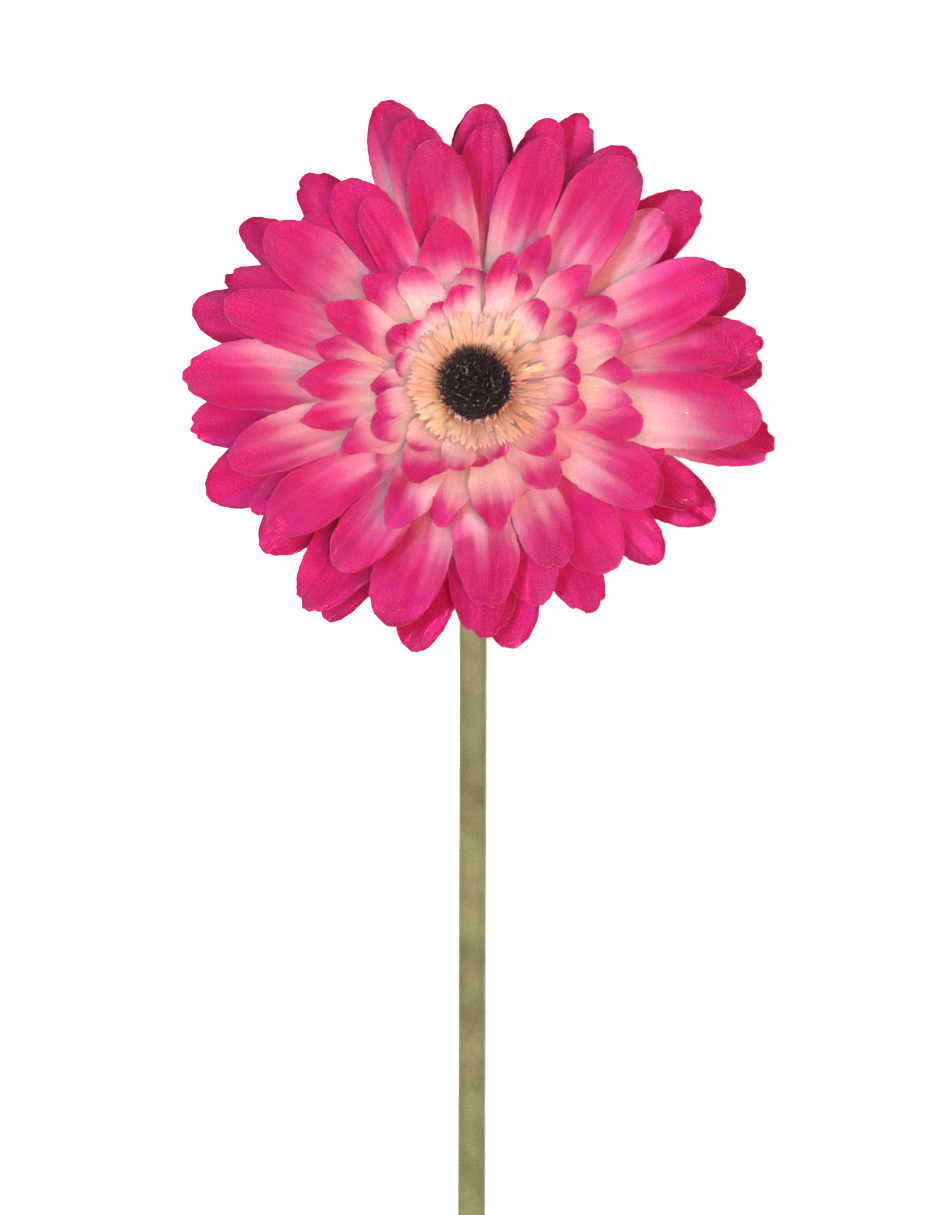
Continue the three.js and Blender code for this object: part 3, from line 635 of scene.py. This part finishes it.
def dyed_cloth(name, fade_width, streak, colours):
    """Woven cloth dyed from the tip: colours run from the bare root to the tip of each petal."""
    material, tree = new_material(name)
    shader = tree.nodes["Principled BSDF"]
    petal_uv = add_node(tree, "UVMap", {"uv_map": "Petal"})
    cloth_uv = add_node(tree, "UVMap", {"uv_map": "Cloth"})
    pale = add_node(tree, "Attribute", {"attribute_name": "pale"})
    tone = add_node(tree, "Attribute", {"attribute_name": "tone"})
    edge = add_node(tree, "Attribute", {"attribute_name": "edge"})
    parts = add_node(tree, "SeparateXYZ", Vector=petal_uv.outputs["UV"])
    shift = add_node(tree, "Math", {"operation": "MULTIPLY"}, _0=tone.outputs["Fac"], _1=37.0)
    own = add_node(tree, "CombineXYZ", X=parts.outputs["X"], Y=parts.outputs["Y"], Z=shift.outputs["Value"])

    # the dye: pink reaches further towards the root along some threads, and on one side of the petal
    stretched = add_node(tree, "Mapping", Vector=own.outputs["Vector"], Scale=(3.6, 0.8, 1.0))
    streaks = add_node(tree, "TexNoise",
                       Vector=stretched.outputs["Vector"], Scale=1.0, Detail=2.0, Roughness=0.4)
    pushed = add_node(tree, "MapRange", Value=streaks.outputs["Fac"], _1=0.25, _2=0.75, _3=-streak, _4=streak)
    bent = add_node(tree, "Math", {"operation": "ADD"}, _0=parts.outputs["Y"], _1=pushed.outputs["Result"])
    lean = add_node(tree, "MapRange", Value=tone.outputs["Fac"], _1=0.0, _2=1.0, _3=-0.3, _4=0.3)
    off_middle = add_node(tree, "Math", {"operation": "SUBTRACT"}, _0=parts.outputs["X"], _1=0.5)
    leaning = add_node(tree, "Math", {"operation": "MULTIPLY_ADD"},
                       _0=lean.outputs["Result"], _1=off_middle.outputs["Value"], _2=bent.outputs["Value"])
    past = add_node(tree, "Math", {"operation": "SUBTRACT"},
                    _0=leaning.outputs["Value"], _1=pale.outputs["Fac"])
    dyed = add_node(tree, "MapRange", Value=past.outputs["Value"],
                    _1=-fade_width, _2=fade_width, _3=0.0, _4=1.0)
    ramp = add_node(tree, "ValToRGB", Fac=dyed.outputs["Result"])
    elements = ramp.color_ramp.elements
    while len(elements) < len(colours):
        elements.new(0.5)
    for element, (position, colour) in zip(elements, colours):
        element.position = position
        element.color = hex_colour(colour)
    # darker deep-pink streaks on the dyed part: partly dye, partly painted shade of lengthwise folds
    darker = add_node(tree, "MapRange", Value=streaks.outputs["Fac"], _1=0.45, _2=0.68, _3=0.0, _4=0.7)
    streaked = add_node(tree, "Math", {"operation": "MULTIPLY"},
                        _0=darker.outputs["Result"], _1=dyed.outputs["Result"])
    deep = add_node(tree, "Mix", {"data_type": "RGBA"}, _0=streaked.outputs["Value"],
                    _6=ramp.outputs["Color"], _7=hex_colour(DEEP_PINK))

    # painted sheen: a mauve bloom painted on the tips, in patches, for light grazing the weave
    tip = add_node(tree, "MapRange", Value=parts.outputs["Y"], _1=0.7, _2=1.0, _3=0.0, _4=1.0)
    patches = add_node(tree, "TexNoise", Vector=own.outputs["Vector"], Scale=2.2, Detail=1.0)
    patch = add_node(tree, "MapRange", Value=patches.outputs["Fac"], _1=0.42, _2=0.66, _3=0.0, _4=0.45)
    sheen_patches = add_node(tree, "Math", {"operation": "MULTIPLY"},
                       _0=tip.outputs["Result"], _1=patch.outputs["Result"])
    sheened = add_node(tree, "Mix", {"data_type": "RGBA"}, _0=sheen_patches.outputs["Value"],
                      _6=deep.outputs[2], _7=hex_colour(MAUVE_SHEEN))

    # the weave: uneven threads, and painted glints: pale flecks near the tip where threads catch the light
    speckle = add_node(tree, "TexNoise", Vector=cloth_uv.outputs["UV"], Scale=2.7, Detail=3.0)
    fleck = add_node(tree, "MapRange", Value=speckle.outputs["Fac"], _1=0.32, _2=0.68, _3=0.84, _4=1.16)
    fine = add_node(tree, "Mapping", Vector=own.outputs["Vector"], Scale=(13.0, 1.3, 1.0))
    threads = add_node(tree, "TexNoise", Vector=fine.outputs["Vector"], Scale=1.0, Detail=2.0)
    striped = add_node(tree, "MapRange", Value=threads.outputs["Fac"], _1=0.35, _2=0.62, _3=0.93, _4=1.05)
    uneven = add_node(tree, "Math", {"operation": "MULTIPLY"},
                      _0=fleck.outputs["Result"], _1=striped.outputs["Result"])
    woven = add_node(tree, "Mix", {"data_type": "RGBA", "blend_type": "MULTIPLY"},
                     _0=1.0, _6=sheened.outputs[2], _7=uneven.outputs["Value"])
    # painted glints: pale pink flecks mixed in near the tip
    bright = add_node(tree, "MapRange", Value=speckle.outputs["Fac"], _1=0.56, _2=0.72, _3=0.0, _4=0.3)
    glint = add_node(tree, "Math", {"operation": "MULTIPLY"},
                     _0=bright.outputs["Result"], _1=tip.outputs["Result"])
    glinted = add_node(tree, "Mix", {"data_type": "RGBA"}, _0=glint.outputs["Value"],
                       _6=woven.outputs[2], _7=hex_colour(PAINTED_GLINT))
    # a painted highlight: a thin pale line along each petal's cut edge, where the edge catches the light
    line = add_node(tree, "MapRange", Value=edge.outputs["Fac"], _1=0.6, _2=0.95, _3=0.0, _4=0.18)
    cut = add_node(tree, "Mix", {"data_type": "RGBA"}, _0=line.outputs["Result"],
                   _6=glinted.outputs[2], _7=hex_colour(EDGE_HIGHLIGHT))
    tree.links.new(cut.outputs[2], shader.inputs["Base Color"])
    thread_u = add_node(tree, "TexWave", {"wave_type": "BANDS", "bands_direction": "X"},
                        Vector=cloth_uv.outputs["UV"], Scale=0.8, Distortion=0.8, Detail=1.0)
    thread_v = add_node(tree, "TexWave", {"wave_type": "BANDS", "bands_direction": "Y"},
                        Vector=cloth_uv.outputs["UV"], Scale=0.8, Distortion=0.8, Detail=1.0)
    weave = add_node(tree, "Math", {"operation": "MULTIPLY_ADD"},
                     _0=thread_u.outputs["Fac"], _1=thread_v.outputs["Fac"], _2=speckle.outputs["Fac"])
    bump = add_node(tree, "Bump", Height=weave.outputs["Value"], Strength=0.5, Distance=0.00012)
    tree.links.new(bump.outputs["Normal"], shader.inputs["Normal"])
    shader.inputs["Roughness"].default_value = 0.75
    shader.inputs["Specular IOR Level"].default_value = 0.25
    shader.inputs["Sheen Weight"].default_value = 0.25
    shader.inputs["Sheen Roughness"].default_value = 0.35
    shader.inputs["Sheen Tint"].default_value = hex_colour(CLOTH_SHEEN)
    through = add_node(tree, "BsdfTranslucent", Color=cut.outputs[2])
    both = add_node(tree, "MixShader", _0=THROUGH_SHARE,
                    _1=shader.outputs["BSDF"], _2=through.outputs["BSDF"])
    tree.links.new(both.outputs["Shader"], tree.nodes["Material Output"].inputs["Surface"])
    return material


large_shape = {"across": 24, "along": 56, "trough": 0.7, "groove": 0.32, "roll": 0.35, "wave": 0.18,
               "ribs": 0.15, "curl": 0.4, "ragged": 0.22, "wobble": 0.08, "bluntness": 2.4}
petal_cloth = dyed_cloth("pink_petal_cloth", 0.2, 0.09, [
    (0.0, "FFF0EE"), (0.3, "F8CBE0"), (0.62, "EC6EB0"), (1.0, "E2368C")])
for layer in large_layers:
    cloth_piece = piece_from(cloth_layer(layer, large_shape), layer["name"] + "_cloth")
    cloth_piece.data.materials.append(petal_cloth)
    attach(cloth_piece, "root")
    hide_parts(layer["name"])
    lamp_lit.objects.link(cloth_piece)
    glow_lit.objects.link(cloth_piece)


# ---- Small petals ----------------------------------------------------------------------------
# Four more cloth layers with short petals round the florets, nearly white with pink tips. They are
# cupped more steeply than the large ones, so their tips stand up and throw soft shadows.
small_layers = [
    {"name": "petal_layer_5", "cup": 10, "seat": 4, "petals": [
        (2.5, 31.3, 9, 0, 2, .70), (29, 31.7, 9, .3, 0, .80), (102, 33.6, 12.5, .5, 2, .59),
        (137, 30.7, 10, 0, 2, .66), (168, 32.7, 8, .3, 2, .74), (193, 35.6, 9, 0, 2, .69),
        (223, 26, 7.5, .2, 0, .87), (256.5, 29.6, 8, 0, 0, .76), (291, 24.7, 8.5, 0, 0, 1.00),
        (320, 23.8, 7.5, 0, 0, .92), (344, 34.4, 9.5, .4, 0, .68)]},
    {"name": "petal_layer_6", "cup": 13.5, "seat": 5, "petals": [
        (16, 30.2, 8.5, .3, 0, .84), (45, 32.3, 9.5, .4, 2, .67), (63.5, 32.6, 7, .2, 2, .61),
        (93, 22.6, 8, 0, 0, .83), (122, 26.2, 8, .2, 0, .78), (154, 33.6, 8.5, .4, 2, .57),
        (181, 35.4, 9, .3, 2, .64), (208, 30.2, 8.5, 0, 2, .72), (240, 34.4, 9.5, .6, 2, .66),
        (278, 30.8, 8.5, .4, 2, .70), (306.5, 26.2, 9, .2, 0, .70), (352, 31.3, 7, .3, 2, .84)]},
    {"name": "petal_layer_7", "cup": 17.5, "seat": 6, "petals": [
        (1, 20.8, 6.5, 0, 0, .72), (33, 23.2, 8.5, .2, 0, .78), (65, 23.4, 7, .2, 0, .72),
        (119, 17.4, 6, 0, 0, .79), (152, 20, 7, .2, 0, .66), (184, 20.7, 6.5, 0, 0, .70),
        (208, 22.8, 8, .2, 0, .75), (237, 23.8, 8.5, 0, 0, .66), (272, 17, 7, 0, 0, .82),
        (316, 20.7, 7, 0, 0, .70), (342.5, 22.6, 7, .2, 0, .80)]},
    {"name": "petal_layer_8", "cup": 21.5, "seat": 7, "petals": [
        (17, 20.8, 7, .2, 0, .84), (49, 20.6, 7, 0, 0, .74), (75, 26.2, 6, .4, 0, .66),
        (100, 19.4, 7, 0, 0, .74), (142, 17.2, 6, 0, 0, .79), (168, 16.4, 6, 0, 0, .82),
        (197, 20.4, 6, .2, 0, .79), (228, 18.4, 7, 0, 0, .87), (256, 18.2, 7, 0, 0, .88),
        (285, 16, 6, 0, 0, .84), (331, 18.2, 6, 0, 0, .80), (350, 20.5, 6.5, .2, 0, .78)]},
]
small_shape = {"across": 14, "along": 28, "trough": 0.5, "groove": 0.12, "roll": 0.4, "wave": 0.12,
               "ribs": 0.05, "curl": 0.3, "ragged": 0.24, "wobble": 0.3, "bluntness": 2.0}
small_cloth = dyed_cloth("pale_petal_cloth", 0.16, 0.04, [
    (0.0, "FFF2EC"), (0.35, "F8D0E0"), (0.7, "EC6EB0"), (1.0, "E0368C")])
for layer in small_layers:
    cloth_piece = piece_from(cloth_layer(layer, small_shape), layer["name"] + "_cloth")
    cloth_piece.data.materials.append(small_cloth)
    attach(cloth_piece, "root")
    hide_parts(layer["name"])
    lamp_lit.objects.link(cloth_piece)
    glow_lit.objects.link(cloth_piece)


# ---- Floret ring -----------------------------------------------------------------------------
# A soft cream moulding: a saucer on the top washer, rows of thin lobed florets on its flange, small
# teeth round the near side of the pile, and the peg that threads the petal layers and plugs into
# the calyx. The florets stand apart on the right, where the petals' pale roots show between them.
RING_SEAT = 8.3
RING_THICKNESS = 0.8
RING_RADIUS = 9.2
FLANGE_RISE = math.radians(26)
PEG_RADIUS = 1.6
PEG_FOOT = -4.4
FLORET_THICKNESS = 0.2
RIM_THICKNESS = 0.3
floret_rows = [
    {"count": 27, "foot": 7.6, "length": 7.6, "lean": 0.1, "rise": 31, "sag": 10,
     "root": 1.3, "tip": 3.0, "fork": 0.2},
    {"count": 25, "foot": 7.5, "length": 5.3, "lean": -0.2, "rise": 32, "sag": 10,
     "root": 1.4, "tip": 2.7, "fork": 0.24},
    {"count": 24, "foot": 7.4, "length": 3.7, "lean": -0.2, "rise": 33, "sag": 10,
     "root": 1.4, "tip": 2.3, "fork": 0.24},
    {"count": 24, "foot": 7.3, "length": 2.2, "lean": 0.0, "rise": 35, "sag": 12,
     "root": 1.4, "tip": 2.0, "fork": 0.22},
]
SAUCER_PALENESS = 0.5
TOOTH_COUNT = 36
TEETH_AT = (200, 400)
WHITE_TEETH_END = 285
MISSING_TEETH = 0.3
tooth = {"foot": -8.1, "length": 1.8, "lean": 0.0, "rise": 70, "sag": 28,
         "root": 0.6, "tip": 1.1, "fork": 0.1}
FAR_SIDE_REACH = 0.06
SLOT_OPENING = 0.32
CORNER_CUT = 0.12
RING_SIDES = 72


def flange_height(radius):
    """The saucer is flat on the top washer and rises outside it, clear of the innermost petals."""
    return max(0.0, radius - WASHER_RADIUS) * math.tan(FLANGE_RISE)


bm = bmesh.new()
rim_height = RING_SEAT + flange_height(RING_RADIUS)
turned_profile(bm, [
    (0, PEG_FOOT), (PEG_RADIUS - 0.3, PEG_FOOT), (PEG_RADIUS, PEG_FOOT + 0.4), (PEG_RADIUS, RING_SEAT),
    (WASHER_RADIUS, RING_SEAT), (RING_RADIUS - 0.2, rim_height - 0.1), (RING_RADIUS, rim_height + 0.1),
    (RING_RADIUS - 0.2, rim_height + RIM_THICKNESS), (WASHER_RADIUS, RING_SEAT + RING_THICKNESS),
    (0, RING_SEAT + RING_THICKNESS)], RING_SIDES)
bmesh.ops.recalc_face_normals(bm, faces=bm.faces)
mark_sharp(bm, SHARP_FOLD)
reach_layer = bm.verts.layers.float.new("reach")
for vert in bm.verts:
    vert[reach_layer] = SAUCER_PALENESS


def stand_floret(bm, row, turn, whiteness, draw):
    """One floret of the fringe: a thin strap that widens outwards and ends in two or three lobes."""
    reach_layer = bm.verts.layers.float["reach"]
    to_right = math.copysign(1.0, row["foot"]) * math.cos(turn)
    length = row["length"] * draw.uniform(0.86, 1.06)
    length *= 1 + row["lean"] * to_right + FAR_SIDE_REACH * math.sin(turn)
    rise = math.radians(row["rise"] + draw.uniform(-3, 3))
    sag = math.radians(row["sag"])
    sideways = draw.uniform(-0.18, 0.18)
    fullness = draw.uniform(0.85, 1.1) - SLOT_OPENING * max(0.0, to_right)
    twist = draw.uniform(-0.25, 0.25)
    lobe_count = draw.choice((2, 3))
    foot_height = RING_SEAT + flange_height(abs(row["foot"])) + RING_THICKNESS * 0.8
    grid = bmesh.ops.create_grid(bm, x_segments=2 * lobe_count, y_segments=6, size=0.5)["verts"]
    for vert in grid:
        q, along = vert.co.x * 2, vert.co.y + 0.5
        spread = smooth_step(0.3, 0.9, along)
        half = (row["root"] + (row["tip"] - row["root"]) * spread) / 2 * fullness
        slit = 0.5 + 0.5 * math.cos(math.pi * lobe_count * (q + 1))
        corner = smooth_step(0.6, 1.0, abs(q))
        cut_back = row["fork"] * slit * (1 - corner) + CORNER_CUT * corner
        reach = along * length * (1 - spread * cut_back)
        bend = rise - sag * reach / length
        vert[reach_layer] = along + whiteness
        vert.co = (row["foot"] + reach * math.cos(bend), half * q + sideways * reach,
                   foot_height + reach * math.sin(bend) + 0.08 * q * q + twist * half * q * along)
    faces = list({face for vert in grid for face in vert.link_faces})
    made = bmesh.ops.solidify(bm, geom=faces, thickness=FLORET_THICKNESS)
    floret = {vert for face in faces for vert in face.verts}
    floret |= {item for item in made["geom"] if isinstance(item, bmesh.types.BMVert)}
    bmesh.ops.rotate(bm, verts=list(floret), cent=(0, 0, 0), matrix=Matrix.Rotation(turn, 3, "Z"))


draw = random.Random(7)
for row_index, row in enumerate(floret_rows):
    for index in range(row["count"]):
        turn = (index + 0.5 * (row_index % 2) + draw.uniform(-0.2, 0.2)) * 2 * math.pi / row["count"]
        stand_floret(bm, row, turn, 0.0, draw)
for index in range(TOOTH_COUNT):
    seen_at = TEETH_AT[0] + (TEETH_AT[1] - TEETH_AT[0]) * (index + draw.uniform(-0.3, 0.3)) / TOOTH_COUNT
    whiteness = 1.0 if seen_at < WHITE_TEETH_END else 0.0
    if draw.random() > MISSING_TEETH:
        stand_floret(bm, tooth, math.radians(seen_at - 180), whiteness, draw)
bmesh.ops.transform(bm, verts=bm.verts, matrix=HEAD_TO_TABLE)
ring_piece = piece_from(bm, "floret_fringe")

cream, tree = new_material("cream_moulding")
shader = tree.nodes["Principled BSDF"]
coords = add_node(tree, "TexCoord")
reach = add_node(tree, "Attribute", {"attribute_name": "reach"})
clouds = add_node(tree, "TexNoise", Vector=coords.outputs["Object"], Scale=330.0, Detail=2.0)
outward = add_node(tree, "Math", {"operation": "MULTIPLY_ADD"},
                   _0=clouds.outputs["Fac"], _1=0.8, _2=reach.outputs["Fac"])
shade = add_node(tree, "Math", {"operation": "DIVIDE"}, _0=outward.outputs["Value"], _1=2.0)
creams = add_node(tree, "ValToRGB", Fac=shade.outputs["Value"])
creams.color_ramp.elements.new(0.5)
for element, (position, colour) in zip(creams.color_ramp.elements, [
        (0.2, "DCA478"), (0.5, "E6B891"), (0.85, "EAD6C2")]):
    element.position = position
    element.color = hex_colour(colour)
tree.links.new(creams.outputs["Color"], shader.inputs["Base Color"])
shader.inputs["Roughness"].default_value = 0.45
shader.inputs["Subsurface Weight"].default_value = 0.4
shader.inputs["Subsurface Radius"].default_value = (1.0, 0.45, 0.25)
shader.inputs["Subsurface Scale"].default_value = 0.002
ring_piece.data.materials.append(cream)
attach(ring_piece, "root")
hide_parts("floret_ring")
lamp_lit.objects.link(ring_piece)
glow_lit.objects.link(ring_piece)


# ---- Pile ------------------------------------------------------------------------------------
# The dark centre: a low dome glued on the saucer, a little nearer the stem than its middle, and
# covered in short glossy fibres that stand every way. Longer thin hairs splay out over the florets
# along the far side of its edge.
PILE_SEAT = RING_SEAT + RING_THICKNESS + 0.3
PILE_SHIFT = -0.5
PILE_RADIUS = 6.8
PILE_SHOULDER = 1.2
PILE_HEIGHT = 3.2
FIBRE_COUNT = 1700
FIBRE_LENGTH = 1.4
FIBRE_RADIUS = 0.15
# the share of fibres that are pale painted glints
GLINT_FIBRE_SHARE = 0.05
HAIR_COUNT = 170
HAIR_LENGTH = 2.2
HAIR_RADIUS = 0.06
HAIRS_FROM, HAIRS_TO, HAIRS_MOSTLY_AT = 15, 210, 110
FIBRE_FOLD = 70
DOME_STEPS, DOME_SIDES = 8, 48
GOLDEN_ANGLE = math.pi * (3 - math.sqrt(5))


def dome_height(radius):
    """The dome's surface height at a distance from its middle."""
    return PILE_SHOULDER + (PILE_HEIGHT - PILE_SHOULDER) * (1 - (radius / PILE_RADIUS) ** 2)


bm = bmesh.new()
dome_profile = [(0, 0), (PILE_RADIUS - 0.3, 0)]
dome_profile += [(PILE_RADIUS * step / DOME_STEPS, dome_height(PILE_RADIUS * step / DOME_STEPS))
                 for step in range(DOME_STEPS, -1, -1)]
turned_profile(bm, dome_profile, DOME_SIDES)
bmesh.ops.recalc_face_normals(bm, faces=bm.faces)
bm.verts.layers.float.new("shade")


def plant_fibre(bm, turn, radius, lean, sideways, length, thickness, shade):
    """One tapered fibre on the dome, leaning outwards and to one side from straight up."""
    shade_layer = bm.verts.layers.float["shade"]
    foot = Vector((radius, 0, dome_height(radius) - 0.15))
    stand = Matrix.Rotation(turn, 4, "Z") @ Matrix.Translation(foot)
    stand = stand @ Matrix.Rotation(sideways, 4, "X") @ Matrix.Rotation(lean, 4, "Y")
    fibre = bmesh.ops.create_cone(bm, cap_ends=True, segments=4, radius1=thickness,
                                  radius2=thickness * 0.6, depth=length,
                                  matrix=stand @ Matrix.Translation((0, 0, length / 2)))
    for vert in fibre["verts"]:
        vert[shade_layer] = shade


draw = random.Random(11)
for index in range(FIBRE_COUNT):
    radius = PILE_RADIUS * math.sqrt((index + 0.5) / FIBRE_COUNT)
    lean = draw.uniform(-1.3, 1.3)
    shade = draw.uniform(0.0, 0.4) + 0.25 * (radius / PILE_RADIUS) ** 3
    thickness = FIBRE_RADIUS * draw.uniform(0.7, 1.1)
    length = FIBRE_LENGTH * draw.uniform(0.7, 1.1)
    # a few pale fibres are painted glints, standing for the sparkle of the glossy pile
    if draw.random() < GLINT_FIBRE_SHARE:
        shade, thickness, lean = draw.uniform(0.75, 1.0), FIBRE_RADIUS * 0.7, lean * 0.4
    sideways = draw.uniform(-1.3, 1.3)
    plant_fibre(bm, index * GOLDEN_ANGLE, radius, lean, sideways, length, thickness, shade)
for _ in range(HAIR_COUNT):
    turn = math.radians(draw.triangular(HAIRS_FROM, HAIRS_TO, HAIRS_MOSTLY_AT))
    radius = PILE_RADIUS * draw.uniform(0.9, 1.0)
    lean = draw.uniform(0.85, 1.3)
    sideways = draw.uniform(-0.4, 0.4)
    length = HAIR_LENGTH * draw.uniform(0.5, 1.15)
    plant_fibre(bm, turn, radius, lean, sideways, length, HAIR_RADIUS, draw.uniform(0.1, 0.4))
mark_sharp(bm, FIBRE_FOLD)
bmesh.ops.translate(bm, verts=bm.verts, vec=(0, PILE_SHIFT, PILE_SEAT))
bmesh.ops.transform(bm, verts=bm.verts, matrix=HEAD_TO_TABLE)
pile_piece = piece_from(bm, "dark_pile")

dark, tree = new_material("dark_fibre")
shader = tree.nodes["Principled BSDF"]
coords = add_node(tree, "TexCoord")
shade = add_node(tree, "Attribute", {"attribute_name": "shade"})
browns = add_node(tree, "ValToRGB", Fac=shade.outputs["Fac"])
browns.color_ramp.elements.new(0.5)
# black and warm brown are the fibres' own colours; the pale end is for the painted glints
for element, (position, colour) in zip(browns.color_ramp.elements, [
        (0.0, "0C0607"), (0.6, "482426"), (1.0, "C8BCBC")]):
    element.position = position
    element.color = hex_colour(colour)
tree.links.new(browns.outputs["Color"], shader.inputs["Base Color"])
grain = add_node(tree, "TexNoise", Vector=coords.outputs["Object"], Scale=2600.0, Detail=1.0)
gloss = add_node(tree, "MapRange", Value=grain.outputs["Fac"], _1=0.35, _2=0.6, _3=0.25, _4=0.6)
tree.links.new(gloss.outputs["Result"], shader.inputs["Roughness"])
rough = add_node(tree, "Bump", Height=grain.outputs["Fac"], Strength=1.0, Distance=0.0003)
tree.links.new(rough.outputs["Normal"], shader.inputs["Normal"])
shader.inputs["Specular IOR Level"].default_value = 0.5
pile_piece.data.materials.append(dark)
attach(pile_piece, "root")
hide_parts("pile")
lamp_lit.objects.link(pile_piece)
